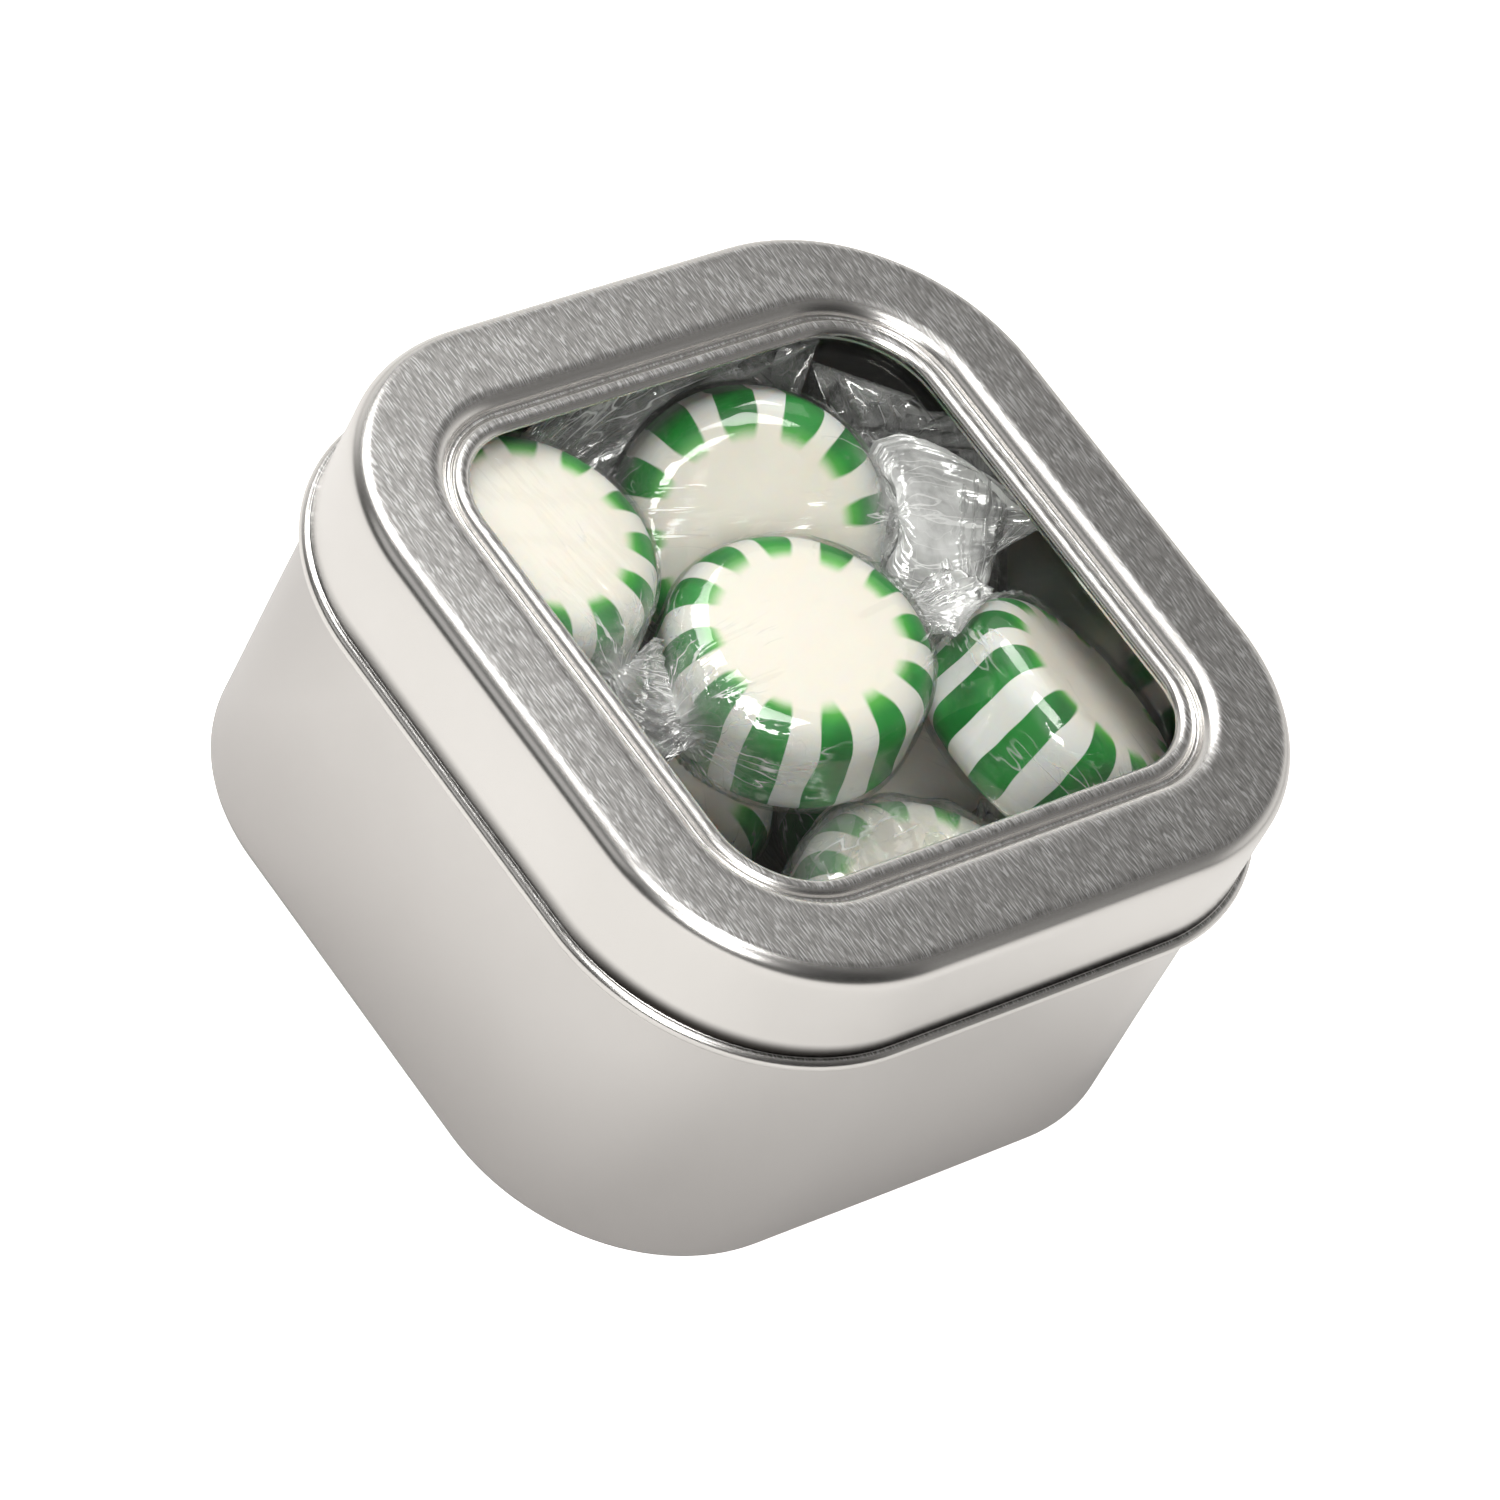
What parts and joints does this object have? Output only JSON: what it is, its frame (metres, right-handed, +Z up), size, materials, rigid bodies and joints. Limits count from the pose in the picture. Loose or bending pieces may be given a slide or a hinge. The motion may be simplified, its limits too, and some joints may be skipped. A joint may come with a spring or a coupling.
{
  "type": "window tin",
  "caption": "Square slip-lid tin with rounded corners and a clear window in its lid, holding wrapped striped mints.",
  "frame": {"origin": "middle of the tin's flat bottom", "axes": "+Z up, the way the lid lifts off; X and Y square to the tin's flat walls"},
  "size_m": [0.0778, 0.0778, 0.0432],
  "materials": {
    "tinplate": "satin brushed",
    "clear_plastic": "clear gloss",
    "hard_candy": "gloss",
    "clear_film": "clear gloss"
  },
  "bodies": {
    "tin": {"tin_body": "tinplate", "mint_left": "hard_candy", "mint_back": "hard_candy", "mint_front": "hard_candy", "mint_right": "hard_candy", "mint_low": "hard_candy", "mint_upright": "hard_candy", "mint_base_right": "hard_candy", "mint_base_back": "hard_candy", "mint_base_far": "hard_candy", "mint_base_middle": "hard_candy", "mint_base_front": "hard_candy", "wrapper_left": "clear_film", "wrapper_back": "clear_film", "wrapper_front": "clear_film", "wrapper_right": "clear_film", "wrapper_low": "clear_film", "wrapper_upright": "clear_film", "wrapper_base_right": "clear_film", "wrapper_base_back": "clear_film", "wrapper_base_far": "clear_film", "wrapper_base_middle": "clear_film", "wrapper_base_front": "clear_film"},
    "lid": {"lid_shell": "tinplate", "window_pane": "clear_plastic", "pane_frame": "tinplate"}
  },
  "joints": [
    {"name": "lid_lift", "type": "slide", "parent": "tin", "child": "lid", "axis": [0, 0, 1], "range_m": [0, 0.06]}
  ]
}
